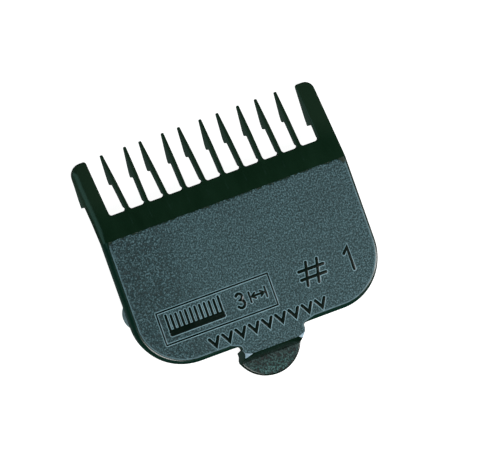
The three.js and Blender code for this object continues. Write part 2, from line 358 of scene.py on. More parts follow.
def slice_at(bm, place, keep=None, normal=(0, 1, 0)):
    """Cuts the mesh on a plane, and drops and closes one side of it if asked to."""
    parts = bm.verts[:] + bm.edges[:] + bm.faces[:]
    cut = bmesh.ops.bisect_plane(
        bm, geom=parts, dist=1e-8, plane_co=Vector(normal) * place, plane_no=normal,
        clear_inner=keep == "front", clear_outer=keep == "rear",
    )
    if keep:
        edges = [e for e in cut["geom_cut"] if isinstance(e, bmesh.types.BMEdge)]
        bmesh.ops.holes_fill(bm, edges=edges)
    return bm


def set_heights(bm, top, bottom):
    """Moves a level prism's upper and lower faces to heights that depend on y."""
    for v in bm.verts:
        if v.co.z > 0:
            v.co.z = top(v.co.y) - (LEVEL - v.co.z)
        else:
            v.co.z = bottom(v.co.y) + (v.co.z + LEVEL)
    return bm


def piece(name, bm, body, replaced=()):
    """Turns a mesh into a piece that rides on a body and stands for some CAD nodes."""
    bmesh.ops.recalc_face_normals(bm, faces=bm.faces)
    mesh = bpy.data.meshes.new(name)
    bm.to_mesh(mesh)
    bm.free()
    obj = bpy.data.objects.new(name, mesh)
    bpy.context.scene.collection.objects.link(obj)
    mesh.shade_smooth()
    mesh.set_sharp_from_angle(angle=math.radians(SHARP_ANGLE))
    if body:
        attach(obj, body)
    if replaced:
        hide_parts(*replaced)
    return obj


def tooth_root_x(number):
    """The root of a slim tooth: neighbours lean opposite ways, the odd ones to the left."""
    low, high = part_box(f"tooth_rib_{number:02d}")
    return high.x - TOOTH_HALF if number % 2 else low.x + TOOTH_HALF


def tooth_lean(number):
    """How far the tooth moves sideways for each metre along it."""
    low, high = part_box(f"tooth_rib_{number:02d}")
    lean = (high.x - low.x - 2 * TOOTH_HALF) / (high.y - low.y)
    return -lean if number % 2 else lean


def side_outline(half_body, inner_x, corner, tip_radius, plate_round, shoulder_round):
    """The comb's right half from the tab to the first gap: points, and the rounding at each."""
    points, rounds = [], []

    def run(more, start_round, end_round=None):
        steps = max(1, len(more) - 1)
        end = start_round if end_round is None else end_round
        points.extend(more)
        rounds.extend(start_round + (end - start_round) * i / steps for i in range(len(more)))

    tongue_side = TONGUE_HALF + ROOT_FILLET
    corner_x = half_body - corner[0]
    run([(STEP_HALF, STEP_TOP_Y), (TONGUE_HALF, TONGUE_LOW.y)], TONGUE_ROUND)
    run(arc(tongue_side, REAR_Y - ROOT_FILLET, ROOT_FILLET, 180, 90), TONGUE_ROUND)
    run([(corner_x - reach, REAR_Y) for reach in REAR_STOPS], REAR_ROUND)
    run(corner_bend(half_body, corner), REAR_ROUND, plate_round)
    for i in range(SHOULDER_STEPS + 1):
        share = i / SHOULDER_STEPS
        ease = share * share * (3 - 2 * share)
        y = SHOULDER_FROM + (SHOULDER_TO - SHOULDER_FROM) * share
        run([(half_body, y)], plate_round + (shoulder_round - plate_round) * ease)
    tip = END_TIP_Y - tip_radius
    run([(half_body, tip - END_TIP_RUN)], shoulder_round)
    run(arc(half_body - tip_radius, tip, tip_radius, 0, 90), shoulder_round, INNER_ROUND)
    inner_tip = END_TIP_Y - END_TIP_INNER_RADIUS
    run(arc(inner_x + END_TIP_INNER_RADIUS, inner_tip, END_TIP_INNER_RADIUS, 90, 180),
        INNER_ROUND)
    run([(inner_x, END_INNER_FROM)], INNER_ROUND)
    return points, rounds


def comb_outline():
    """The comb from above without its slim teeth: points, and the rounding of the rim at each."""
    points, rounds = side_outline(HALF_RIGHT, END_INNER_X, RIGHT_CORNER, RIGHT_TIP_RADIUS,
                                  RIGHT_ROUND, RIGHT_SHOULDER_ROUND)
    edges = [tooth_root_x(n) for n in range(TOOTH_COUNT, 0, -1)]
    right_sides = [END_INNER_X] + [x - TOOTH_HALF for x in edges]
    left_sides = [x + TOOTH_HALF for x in edges] + [-END_INNER_LEFT]
    for i, (right, left) in enumerate(zip(right_sides, left_sides)):
        gap = arc(right - GAP_RADIUS, ROOT_Y, GAP_RADIUS, 0, -90, GAP_STEPS)
        gap += arc(left + GAP_RADIUS, ROOT_Y, GAP_RADIUS, -90, -180, GAP_STEPS)
        if i < TOOTH_COUNT:
            gap += [(left, ROOT_Y + STUB), (left - 2 * TOOTH_HALF, ROOT_Y + STUB)]
        points += gap
        rounds += [GAP_ROUND] * len(gap)
    left_half = side_outline(HALF_BODY, END_INNER_LEFT, LEFT_CORNER, LEFT_TIP_RADIUS,
                             LEFT_ROUND, LEFT_SHOULDER_ROUND)
    points += [(-x, y) for x, y in reversed(left_half[0])]
    rounds += reversed(left_half[1])
    return points, rounds


def comb_prism(lower_round, border=0.0):
    """The whole comb as a level prism, which each shell is cut from."""
    points, rounds = comb_outline()
    return rounded_solid(points, rounds, lower_round, border=border)


def build_plate():
    bm = comb_prism(0.0, HIGHLIGHT_STRIP_WIDTH)
    slice_at(slice_at(bm, RIDGE_Y, "rear"), FLEX_Y, "front")
    set_heights(bm, lambda y: FACE_Z, lambda y: UNDER_Z)
    return piece("plate_shell", bm, "comb_body", ["face_plate"])


def build_slope():
    bm = comb_prism(0.0)
    slice_at(slice_at(bm, RIDGE_Y, "front"), ROOT_Y, "rear")
    set_heights(bm, outer_z, lambda y: outer_z(y) - THICKNESS)
    return piece("slope_shell", bm, "comb_body", ["front_slope"])


def build_tongue():
    """The root of the release tab, sliced across in strips."""
    bm = comb_prism(0.0, HIGHLIGHT_STRIP_WIDTH)
    slice_at(slice_at(bm, FLEX_Y, "rear"), TONGUE_LOW.y, "front")
    for i in range(1, TONGUE_SLICES):
        slice_at(bm, FLEX_Y + (TONGUE_LOW.y - FLEX_Y) * i / TONGUE_SLICES)
    set_heights(bm, lambda y: FACE_Z, lambda y: UNDER_Z)
    tongue = piece("tab_tongue_shell", bm, None, ["tab_tongue"])
    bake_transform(tongue)
    return tongue


def build_end_teeth():
    """The broad teeth at both ends: each a guide past the slope, and a deep hook."""
    made = []
    flat_end = END_NOTCH_Y + END_HOOK_FLAT
    rise = TIP_LOW_Z / (END_TIP_Y - flat_end)
    for side, sign in (("left", -1), ("right", 1)):
        tooth = slice_at(comb_prism(LOWER_ROUND), END_CUT_X, "front", (sign, 0, 0))
        slice_at(slice_at(tooth, ROOT_Y, "front"), END_NOTCH_Y, "rear")
        set_heights(tooth, outer_z, rail_z)
        made.append(piece(f"end_tooth_shell_{side}", tooth, "comb_body",
                          [f"end_tooth_{side}"]))
        hook = slice_at(comb_prism(HOOK_ROUND), END_CUT_X, "front", (sign, 0, 0))
        slice_at(hook, END_NOTCH_Y, "front")
        slice_at(hook, flat_end)
        set_heights(hook, outer_z, lambda y: rise * max(0.0, y - flat_end))
        made.append(piece(f"end_hook_shell_{side}", hook, "comb_body", [f"end_hook_{side}"]))
    return made


def build_rails():
    """The wall round the underside, less deep round the rear corners."""
    made = []
    start_x = TONGUE_HIGH.x + TAB_GAP
    for side, sign, half_body, corner in (("left", -1, HALF_BODY, LEFT_CORNER),
                                          ("right", 1, HALF_RIGHT, RIGHT_CORNER)):
        wall = half_body - INNER_X
        centre_x, centre_y = half_body - corner[0], REAR_Y + corner[1]
        outer = [(start_x, REAR_Y)] + corner_bend(half_body, corner)
        outer += [(half_body, RIDGE_Y), (half_body, ROOT_Y)]
        inner = [(INNER_X, ROOT_Y), (INNER_X, RIDGE_Y)]
        inner += corner_bend(half_body, corner, wall)[::-1]
        inner += [(start_x, REAR_Y + wall)]
        points = outer + inner
        if sign < 0:
            points = [(-x, y) for x, y in reversed(points)]
        bm = rounded_solid(points, 0.0, LOWER_ROUND)
        slice_at(bm, RIDGE_Y)
        for v in bm.verts:
            turn = math.atan2(centre_y - v.co.y, abs(v.co.x) - centre_x)
            if v.co.z < 0 < turn < math.pi / 2:
                v.co.z += CORNER_LIFT * math.sin(2 * turn)
        set_heights(bm, lambda y: outer_z(y) - THICKNESS, rail_z)
        nodes = [f"{kind}_rail_{side}" for kind in ("side", "corner", "rear", "front")]
        made.append(piece(f"rail_shell_{side}", bm, "comb_body", nodes))
    return made


def build_lugs():
    """Half-round lugs that stand out from the side rails."""
    made = []
    for side, sign in (("left", -1), ("right", 1)):
        low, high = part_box(f"locating_lug_{side}")
        half = (high.y - low.y) / 2
        depth = high.x - low.x
        radius = (half * half + depth * depth) / (2 * depth)
        centre_x = max(abs(low.x), abs(high.x)) - radius
        reach = math.degrees(math.asin(half / radius))
        points = arc(centre_x, low.y + half, radius, -reach, reach, 3 * ARC_STEPS)
        if sign < 0:
            points = [(-x, y) for x, y in reversed(points)]
        bm = rounded_solid(points, LUG_TOP, LUG_ROUND, high.z + LUG_TOP, low.z + LUG_LIFT)
        made.append(piece(f"lug_shell_{side}", bm, "comb_body", [f"locating_lug_{side}"]))
    return made


def tooth_profile():
    """Side of a slim tooth as (y, height above the outer surface) points, and its tip."""
    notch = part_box("tooth_rib_01")[1].y
    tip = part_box("tooth_hook_01")[1].y - TOOTH_TIP_BACK

    def hung(points):
        return [(y, z - outer_z(y)) for y, z in points]

    root = ROOT_Y - TOOTH_SUNK
    points = [(root, -TOOTH_ROOT_DEPTH), (RIB_FROM, -TOOTH_ROOT_DEPTH),
              (RIB_FULL_FROM, -RIB_DEPTH)]
    points += arc(notch - NOTCH_FILLET, -RIB_DEPTH - NOTCH_FILLET, NOTCH_FILLET, 90, 0,
                  NOTCH_STEPS)
    points += hung(arc(notch + HOOK_CORNER, HOOK_CORNER, HOOK_CORNER, 180, 270,
                       NOTCH_STEPS))
    points += hung([(notch + HOOK_FLAT, 0.0)])
    points += hung(arc(tip - TOOTH_NOSE, TIP_LOW_Z + TOOTH_NOSE, TOOTH_NOSE, *NOSE_ARC,
                       NOSE_STEPS))
    points += [(root, 0.0)]
    return points, tip


def build_tooth(number):
    """A slim tooth, laid on its side as a prism, then leaned and thinned to its tip."""
    profile, tip = tooth_profile()
    bm = rounded_solid(profile, TOOTH_ROUND, TOOTH_ROUND)
    for v in bm.verts:
        v.co = Vector((v.co.z, v.co.x, v.co.y))
    slice_at(bm, ROOT_Y)
    slice_at(bm, TAPER_Y)
    root_x, lean = tooth_root_x(number), tooth_lean(number)
    for v in bm.verts:
        x, y, h = v.co
        share = max(0.0, (y - TAPER_Y) / (tip - TAPER_Y))
        half = TOOTH_HALF + TOOTH_SWELL + (TOOTH_TIP_HALF - TOOTH_HALF) * share
        offset = half - (LEVEL - x) if x > 0 else (x + LEVEL) - half
        centre = root_x + TOOTH_SHIFT + lean * max(0.0, y - ROOT_Y)
        v.co = Vector((centre + offset, y, outer_z(y) + h + TOOTH_PROUD))
    nodes = [f"tooth_rib_{number:02d}", f"tooth_hook_{number:02d}"]
    return piece(f"tooth_{number:02d}", bm, "comb_body", nodes)


def temporary(bm):
    """An object that lasts only as long as a mesh operation needs it."""
    bmesh.ops.recalc_face_normals(bm, faces=bm.faces)
    mesh = bpy.data.meshes.new("temporary")
    bm.to_mesh(mesh)
    bm.free()
    obj = bpy.data.objects.new("temporary", mesh)
    bpy.context.scene.collection.objects.link(obj)
    return obj


def shared_space(first, second):
    """The mesh that two closed meshes share."""
    one, other = temporary(first), temporary(second)
    modifier = one.modifiers.new("shared", "BOOLEAN")
    modifier.operation = "INTERSECT"
    modifier.solver = "EXACT"
    modifier.object = other
    bpy.context.view_layer.update()
    ready = one.evaluated_get(bpy.context.evaluated_depsgraph_get())
    bm = bmesh.new()
    bm.from_mesh(ready.to_mesh())
    ready.to_mesh_clear()
    bpy.data.objects.remove(one)
    bpy.data.objects.remove(other)
    bmesh.ops.remove_doubles(bm, verts=bm.verts, dist=SAME_PLACE)
    bmesh.ops.dissolve_limit(bm, angle_limit=SAME_PLANE, verts=bm.verts, edges=bm.edges)
    return bm


def prism(under, over):
    """A closed prism between two outlines of as many points."""
    bm = bmesh.new()
    ends = [[bm.verts.new(point) for point in outline] for outline in (under, over)]
    add_wall(bm, *ends)
    for end in ends:
        bm.faces.new(end)
    bmesh.ops.recalc_face_normals(bm, faces=bm.faces)
    return bm


def prism_x(points, half):
    """A prism from one side to the other, over a side outline of (y, z) points."""
    return prism(*([(x, y, z) for y, z in points] for x in (-half, half)))


def prism_z(points, low, high):
    """A prism from a level up to another, over an outline of (x, y) points."""
    return prism(*([(x, y, z) for x, y in points] for z in (low, high)))


def join(target, part):
    """Adds a part's mesh to another mesh, and lets go of it."""
    mesh = bpy.data.meshes.new("part")
    part.to_mesh(mesh)
    part.free()
    target.from_mesh(mesh)
    bpy.data.meshes.remove(mesh)


def round_edges(bm, amount, angle, chosen=lambda edge: True, segments=3):
    """Rounds the chosen edges where the faces turn by more than an angle in degrees."""
    turn = math.radians(angle)
    edges = [
        e for e in bm.edges
        if len(e.link_faces) == 2 and e.calc_face_angle(0) > turn and chosen(e)
    ]
    bmesh.ops.bevel(bm, geom=edges, offset=amount, segments=segments, profile=0.5,
                    affect="EDGES", clamp_overlap=True)
    return bm


def on_wall_end(edge):
    """Whether an edge runs up one of the two ends of the step's wall."""
    ends = [v.co for v in edge.verts]
    outside = all(p.y < STEP_TOP_Y + WALL_MARGIN and abs(p.x) > WALL_END_X for p in ends)
    return outside and abs(ends[0].z - ends[1].z) > WALL_MIN_RISE


def off_tongue(edge):
    """Whether an edge lies clear of the face where the step meets the tongue."""
    return not all(abs(v.co.y - TONGUE_LOW.y) < 10 * SAME_PLACE for v in edge.verts)


def step_block():
    """The steep wall below the tongue, with rounded ends and a facet on both upper corners."""
    undercut = [(FOOT_Y + reach, z) for reach, z in UNDERCUT]
    side = [(TONGUE_LOW.y, FACE_Z), (STEP_TOP_Y, FACE_Z), (FOOT_Y, PAD_TOP), *undercut,
            (TONGUE_LOW.y, UNDER_Z)]
    plan = [(TONGUE_HALF, TONGUE_LOW.y), (-TONGUE_HALF, TONGUE_LOW.y), (-STEP_HALF, STEP_TOP_Y),
            (-FOOT_HALF, FOOT_Y - PLAN_MARGIN), (FOOT_HALF, FOOT_Y - PLAN_MARGIN),
            (STEP_HALF, STEP_TOP_Y)]
    step = shared_space(prism_x(side, BLANK_SIZE), prism_z(plan, -MM, BLANK_SIZE))
    for sign in (-1, 1):
        corner = Vector((sign * (STEP_HALF - FACET_REACH), STEP_TOP_Y, FACE_Z))
        across, back, up = FACET_WAY
        facing = Vector((across * sign, back, up)).normalized()
        slice_at(step, corner.dot(facing), "rear", facing)
    round_edges(step, STEP_END_ROUND, SHARP_ANGLE, on_wall_end, EDGE_STEPS)
    return round_edges(step, TONGUE_ROUND, SHARP_ANGLE, off_tongue, EDGE_STEPS)


def pad_block():
    """The half-round thumb pad, whose straight side is sunk into the step."""
    sagitta = FOOT_Y - PAD_LOW.y
    radius = (FOOT_HALF ** 2 + sagitta ** 2) / (2 * sagitta)
    spread = math.degrees(math.asin(FOOT_HALF / radius))
    outline = arc(0, PAD_LOW.y + radius, radius, -90 - spread, -90 + spread, 5 * ARC_STEPS)
    sunk_y = FOOT_Y + PAD_SUNK
    outline = [(-STEP_HALF, sunk_y)] + outline + [(STEP_HALF, sunk_y)]
    return rounded_solid(outline, PAD_ROUND, PAD_ROUND, PAD_TOP, FOOT_LOW_Z)


def build_tab_end():
    """Step and thumb pad in one piece."""
    step = step_block()
    join(step, pad_block())
    return piece("tab_end_shell", step, "release_tab", ["tab_step", "thumb_pad"])


def stroke_outline(path, half):
    """Outline of a stroke with round ends along a path of points."""
    points = [Vector(p) for p in path]
    ways = [(b - a).normalized() for a, b in zip(points, points[1:])]
    sides = []
    for i in range(len(points)):
        before, after = ways[max(0, i - 1)], ways[min(i, len(ways) - 1)]
        middle = (before + after).normalized()
        normal = Vector((-middle.y, middle.x))
        sides.append(normal * half / max(MITRE_LIMIT, middle.dot(before)))

    def cap(centre, way):
        turn = math.degrees(math.atan2(way.y, way.x))
        return arc(centre.x, centre.y, half, turn - 90, turn + 90, CAP_STEPS)[1:-1]

    right = [tuple(p - side) for p, side in zip(points, sides)]
    left = [tuple(p + side) for p, side in zip(points, sides)]
    return right + cap(points[-1], ways[-1]) + left[::-1] + cap(points[0], -ways[0])


def build_mark(name, paths, half, replaced=(), sunk=0.0):
    """Raised strokes on the outer face with rounded rims, each on a low and wider foot.

    Each stroke stands a hair lower than the one before, so that crossing tops never coincide."""
    joined = bmesh.new()
    for number, path in enumerate(paths):
        drop = MARK_DROP * number + sunk
        stroke = rounded_solid(stroke_outline(path, half), min(MARK_ROUND, 0.5 * half), 0.0,
                               FACE_Z + MARK_HEIGHT - drop, FACE_Z - MARK_SUNK)
        foot = rounded_solid(stroke_outline(path, half + MARK_FOOT), MARK_FOOT_ROUND, 0.0,
                             FACE_Z + MARK_FOOT_HEIGHT - drop / 4, FACE_Z - MARK_SUNK)
        # The feet take the painted highlight: a lighter rim round each stroke
        for face in foot.faces:
            face.material_index = PAINTED_HIGHLIGHT
        join(joined, foot)
        join(joined, stroke)
    return piece(name, joined, "comb_body", replaced)


def chevron(x, y, width, height):
    """Two short strokes that meet at a point towards the release tab."""
    return [(x - width / 2, y + height / 2), (x, y - height / 2), (x + width / 2, y + height / 2)]


def build_comb_picture(left, middle):
    """A plain comb seen from its side: a doubled spine, and tines with longer outer ones."""
    first, last = left + COMB_FROM, left + COMB_TO
    spine_y, tine_end = middle - COMB_BELOW, middle + COMB_ABOVE
    spine = [[(first, y), (last, y)] for y in (spine_y, spine_y + SPINE_PITCH)]
    tines = []
    for i in range(TINE_COUNT):
        x = first + (last - first) * i / (TINE_COUNT - 1)
        reach = tine_end if 0 < i < TINE_COUNT - 1 else tine_end + OUTER_TINE_MORE
        tines.append([(x, spine_y), (x, reach)])
    return [build_mark("comb_picture_spine", spine, SPINE_HALF),
            build_mark("comb_picture_tines", tines, TINE_HALF, sunk=TINE_DROP)]


def build_three(x, middle):
    top, bottom = middle + NUMERAL_HALF, middle - NUMERAL_HALF
    three = arc(x, top - THREE_UPPER, THREE_UPPER, 150, -90)
    three += arc(x, bottom + THREE_LOWER, THREE_LOWER, 90, -150)[1:]
    return build_mark("label_numeral", [three], NUMERAL_STROKE)


def build_length_sign(start, end, middle):
    """A dimension line: a line with an arrowhead at each end, between two ticks."""
    first, last = start + ARROW_INSET, end - ARROW_INSET
    ticks = [[(x, middle - TICK_HALF), (x, middle + TICK_HALF)] for x in (start, end)]
    arrows = [
        [(x + way, middle + ARROW_HALF), (x, middle), (x + way, middle - ARROW_HALF)]
        for x, way in ((first, ARROW_LENGTH), (last, -ARROW_LENGTH))
    ]
    return build_mark("length_sign", [*ticks, [(first, middle), (last, middle)], *arrows],
                      SIGN_HALF)


def build_label():
    """Frame with a plain comb picture, the numeral 3 and a length sign."""
    low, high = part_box("label_frame")
    half = FRAME_LINE / 2
    left, right, rear, front = low.x + half, high.x - half, low.y + half, high.y - half
    corners = [(left, rear), (right, rear), (right, front), (left, front)]
    sides = [(a, b) for a, b in zip(corners, corners[1:] + corners[:1])]
    middle = (rear + front) / 2
    return [build_mark("label_frame_rim", sides, half, ["label_frame"]),
            *build_comb_picture(left, middle), build_three(left + NUMERAL_AT, middle),
            build_length_sign(left + SIGN_FROM, right - SIGN_BEFORE_END, middle)]


def build_size_marks():
    """A hash with leaning uprights, and the numeral 1 with a flag."""
    low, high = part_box("size_hash")
    half = MARK_STROKE / 2
    middle, third = (low.x + high.x) / 2, (high.y - low.y) / 3
    paths = [[(low.x + half, y), (high.x - half, y)] for y in (low.y + third, high.y - third)]
    for sign in (-1, 1):
        x = middle + sign * (high.x - low.x) / 5
        paths.append([(x - HASH_LEAN, low.y + half), (x + HASH_LEAN, high.y - half)])
    made = [build_mark("size_hash_mark", paths, half, ["size_hash"])]
    low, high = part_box("size_numeral")
    stem, flag = high.x - half, high.x - half - low.x - half
    one = [(stem, low.y + half), (stem, high.y - half),
           (low.x + half, high.y - flag - half)]
    made.append(build_mark("size_numeral_mark", [one], half, ["size_numeral"]))
    return made


def build_release_marks():
    """A row of chevrons that point to the release tab."""
    paths = []
    for i in range(CHEVRON_COUNT):
        x = (i - (CHEVRON_COUNT - 1) / 2) * CHEVRON_PITCH
        paths.append(chevron(x, CHEVRON_Y, CHEVRON_WIDTH, CHEVRON_HEIGHT))
    return build_mark("release_chevrons", paths, CHEVRON_HALF)


def build_catch_lip():
    """The wedge that hooks under the heel of the clipper's blade."""
    low, high = LIP_LOW, LIP_HIGH
    side = [(low.y, low.z), (high.y, high.z - LIP_NOSE), (high.y, high.z), (low.y, high.z)]
    bm = prism_x(side, high.x)
    round_edges(bm, LIP_ROUND, SHARP_ANGLE)
    return piece("catch_lip_shell", bm, "release_tab", ["catch_lip"])


# ---- materials: one moulded plastic in a sparked grain and in a polish, with painted highlights and painted shade

# Sockets of a mix node that mixes colours
MIX_INPUTS = (0, 6, 7)
MIX_RESULT = 2


def fill_range(node, low, high, start, end):
    for key, value in (("From Min", low), ("From Max", high), ("To Min", start), ("To Max", end)):
        node.inputs[key].default_value = value


class Nodes:
    """Short calls for building one node material."""

    def __init__(self, name):
        self.material = bpy.data.materials.new(name)
        self.material.use_nodes = True
        self.tree = self.material.node_tree
        self.shader = self.tree.nodes["Principled BSDF"]
        self.place = self.add("ShaderNodeTexCoord").outputs["Object"]

    def add(self, kind, **values):
        node = self.tree.nodes.new(kind)
        for key, value in values.items():
            setattr(node, key, value)
        return node

    def link(self, source, target):
        self.tree.links.new(source, target)

    def noise(self, scale, detail=2.0, roughness=0.5, place=None):
        node = self.add("ShaderNodeTexNoise")
        node.inputs["Scale"].default_value = scale
        node.inputs["Detail"].default_value = detail
        node.inputs["Roughness"].default_value = roughness
        self.link(place or self.place, node.inputs["Vector"])
        return node.outputs["Fac"]

    def stretched(self, x, y, z):
        node = self.add("ShaderNodeMapping")
        node.inputs["Scale"].default_value = (x, y, z)
        self.link(self.place, node.inputs["Vector"])
        return node.outputs["Vector"]

    def spread(self, source, low, high, start=0.0, end=1.0, smooth=False):
        node = self.add("ShaderNodeMapRange")
        node.interpolation_type = "SMOOTHSTEP" if smooth else "LINEAR"
        self.link(source, node.inputs["Value"])
        fill_range(node, low, high, start, end)
        return node.outputs["Result"]

    def math(self, operation, first, second):
        node = self.add("ShaderNodeMath", operation=operation)
        for socket, value in zip(node.inputs, (first, second)):
            if isinstance(value, (int, float)):
                socket.default_value = value
            else:
                self.link(value, socket)
        return node.outputs["Value"]

    def ramp(self, source, *stops):
        node = self.add("ShaderNodeValToRGB")
        elements = node.color_ramp.elements
        while len(elements) < len(stops):
            elements.new(0.5)
        for element, (position, colour) in zip(elements, stops):
            element.position = position
            element.color = (*colour, 1)
        self.link(source, node.inputs["Fac"])
        return node.outputs["Color"]

    def blend(self, share, first, second):
        node = self.add("ShaderNodeMix", data_type="RGBA", blend_type="MIX")
        for place, value in zip(MIX_INPUTS, (share, first, second)):
            socket = node.inputs[place]
            if isinstance(value, tuple):
                socket.default_value = (*value, 1)
            elif isinstance(value, (int, float)):
                socket.default_value = value
            else:
                self.link(value, socket)
        return node.outputs[MIX_RESULT]

    def bump(self, height, distance, strength=1.0):
        node = self.add("ShaderNodeBump")
        node.inputs["Distance"].default_value = distance
        node.inputs["Strength"].default_value = strength
        self.link(height, node.inputs["Height"])
        self.link(node.outputs["Normal"], self.shader.inputs["Normal"])


def srgb(red, green, blue):
    """Linear colour of an 8-bit screen colour."""
    channels = []
    for value in (red, green, blue):
        share = value / 255
        channels.append(share / 12.92 if share <= 0.04045 else ((share + 0.055) / 1.055) ** 2.4)
    return tuple(channels)


# Tones of the plastic: dark and light of each polish, painted shade and painted highlight, and
# three for each grain
POLISHED_COLOUR = srgb(10, 31, 17)
POLISHED_TONES = (POLISHED_COLOUR, srgb(15, 37, 23))
RIM_TONES = (srgb(2, 30, 22), srgb(6, 36, 27))
STEP_SHADE_TONES = (srgb(1, 20, 9), srgb(4, 25, 13))
MARK_SHADE_TONES = (srgb(2, 13, 8), srgb(4, 18, 12))
TEETH_COLOUR = srgb(24, 42, 29)
BORDER_HIGHLIGHT_TONES = (srgb(52, 80, 86), srgb(86, 114, 123))
MARK_FOOT_HIGHLIGHT_TONES = (srgb(92, 124, 132), srgb(122, 152, 162))
LUG_HIGHLIGHT_TONES = (srgb(76, 96, 100), srgb(98, 120, 126))
FACET_GLINT_TONES = (srgb(112, 140, 154), srgb(170, 192, 206))
FACE_TONES = (srgb(5, 34, 36), srgb(33, 64, 69), srgb(76, 107, 114))
PAD_TONES = (srgb(0, 16, 13), srgb(31, 69, 66), srgb(59, 102, 99))
FLOOR_TONES = ((0.30, 0.30, 0.30), (0.33, 0.33, 0.33))

# Sizes of the surface's texture
FACE_GRAIN = 0.26 * MM
PAD_GRAIN = 0.25 * MM
PIT_SIZE = 0.42 * MM
GRAIN_RELIEF = 0.1 * MM
POLISH_RELIEF = 0.004 * MM
HIGHLIGHT_RELIEF = 0.02 * MM
POLISH_ROUGHNESS = 0.18
MARK_ROUGHNESS = 0.14
GRAIN_ROUGHNESS = (0.66, 0.5)
HIGHLIGHT_ROUGHNESS = (0.5, 0.38)
SLOPE_SMOOTHER = 0.22
GRAIN_SPECULAR = 0.35
PLAIN_SPECULAR = 0.4

# Bands over which the surface changes: from one place, or one noise value, to another
NOISE_BAND = (0.3, 0.7)
PIT_BAND = (0.38, 0.52)
PITTED_SIDE = (-18 * MM, -8 * MM)
PIT_TONE_KEPT = (0.1, 0.8)
PAD_SHADE_REACH = 2.8 * MM
PAD_SHADE = 0.7
TEETH_BAND = (ROOT_Y - 1 * MM, ROOT_Y + 3 * MM)
RAGGED_EDGE = 0.35 * MM
RIDGE_BAND = (RIDGE_Y - 0.25 * MM, RIDGE_Y + 0.1 * MM)
RIDGE_CORNER = (INNER_X - 1.2 * MM, INNER_X + 0.8 * MM)
RIDGE_CORNER_BACK = 1.0 * MM


def per_mm(count):
    return count / MM


def past_ridge(n, axes):
    """Share of the smooth slope: 1 past the ridge, along a ragged line with rounded ends."""
    ragged = n.spread(n.noise(per_mm(1.4), 3.0, 0.6), *NOISE_BAND, -RAGGED_EDGE, RAGGED_EDGE)
    side = n.math("ABSOLUTE", axes.outputs["X"], 0.0)
    corner = n.spread(side, *RIDGE_CORNER, 0.0, RIDGE_CORNER_BACK, smooth=True)
    edge = n.math("ADD", n.math("ADD", axes.outputs["Y"], ragged), corner)
    return n.spread(edge, *RIDGE_BAND, smooth=True)


def grain_colour(n, grain, pits, tones, shade):
    """Tone of the grain, darker in the pits and in broad faint patches, and in painted shade
    where a shade is given.
    """
    dark, middle, light = tones
    broad = n.noise(per_mm(0.12), 2.0, 0.5)
    colour = n.ramp(grain, (0.38, dark), (0.50, middle), (0.62, light))
    colour = n.blend(pits, dark, colour)
    colour = n.blend(n.spread(broad, 0.35, 0.65, 0.0, 0.15), colour, dark)
    if shade is not None:
        colour = n.blend(shade, colour, dark)
    return colour


def grained_plastic(name, grain_size, tones, foot_y=None):
    """Spark-eroded face: fine pits, a greyer and duller plastic, ragged where it meets the slope.

    The pits are deepest on the left. With a foot_y they are deep all over, and painted shade
    darkens the face towards that line."""
    n = Nodes(name)
    axes = n.add("ShaderNodeSeparateXYZ")
    n.link(n.place, axes.inputs["Vector"])
    grain = n.noise(1 / grain_size, 2.0, 0.6, n.stretched(1.0, 0.8, 1.0))
    pits = n.spread(n.noise(1 / PIT_SIZE, 2.0, 0.55), *PIT_BAND, smooth=True)
    shade = None
    if foot_y is None:
        kept = n.spread(axes.outputs["X"], *PITTED_SIDE, *PIT_TONE_KEPT, smooth=True)
        pits = n.math("MAXIMUM", pits, kept)
    else:
        # Painted shade: darker towards the step's foot
        shade = n.spread(axes.outputs["Y"], foot_y - PAD_SHADE_REACH, foot_y, 0.0, PAD_SHADE)
    colour = grain_colour(n, grain, pits, tones, shade)

    smooth_share = past_ridge(n, axes)
    colour = n.blend(smooth_share, colour, POLISHED_COLOUR)
    n.link(colour, n.shader.inputs["Base Color"])
    roughness = n.spread(grain, *NOISE_BAND, *GRAIN_ROUGHNESS)
    n.link(n.math("SUBTRACT", roughness, n.math("MULTIPLY", smooth_share, SLOPE_SMOOTHER)),
           n.shader.inputs["Roughness"])
    height = n.math("ADD", grain, n.math("MULTIPLY", pits, 0.9))
    n.bump(n.math("MULTIPLY", height, n.math("SUBTRACT", 1.0, smooth_share)), GRAIN_RELIEF, 1.0)
    n.shader.inputs["Specular IOR Level"].default_value = GRAIN_SPECULAR
    return n.material


def polished_plastic(name, tones, roughness=POLISH_ROUGHNESS):
    """Plain moulded surface: near-black green, with faint flow marks, lighter towards the teeth.
    """
    n = Nodes(name)
    flow = n.noise(per_mm(0.35), 3.0, 0.55, n.stretched(1.0, 0.35, 1.0))
    fine = n.noise(per_mm(5.0), 2.0, 0.6)
    colour = n.blend(n.spread(flow, *NOISE_BAND), *tones)
    axes = n.add("ShaderNodeSeparateXYZ")
    n.link(n.place, axes.inputs["Vector"])
    toward_teeth = n.spread(axes.outputs["Y"], *TEETH_BAND)
    n.link(n.blend(toward_teeth, colour, TEETH_COLOUR), n.shader.inputs["Base Color"])
    rough = n.math("ADD", n.spread(flow, *NOISE_BAND, roughness, roughness + 0.06),
                   n.spread(fine, *NOISE_BAND, -0.02, 0.04))
    n.link(rough, n.shader.inputs["Roughness"])
    n.bump(n.math("ADD", n.math("MULTIPLY", flow, 3.0), fine), POLISH_RELIEF, 0.6)
    n.shader.inputs["Specular IOR Level"].default_value = PLAIN_SPECULAR
    return n.material


def floor_paint():
    """Plain pale floor that is lit evenly from within, so no shadow greys it."""
    n = Nodes("floor_paint")
    speck = n.noise(60.0, 3.0)
    colour = n.blend(n.spread(speck, *NOISE_BAND), *FLOOR_TONES)
    n.link(colour, n.shader.inputs["Base Color"])
    n.shader.inputs["Roughness"].default_value = 0.9
    n.shader.inputs["Emission Color"].default_value = (1, 1, 1, 1)
    n.shader.inputs["Emission Strength"].default_value = FLOOR_GLOW
    return n.material


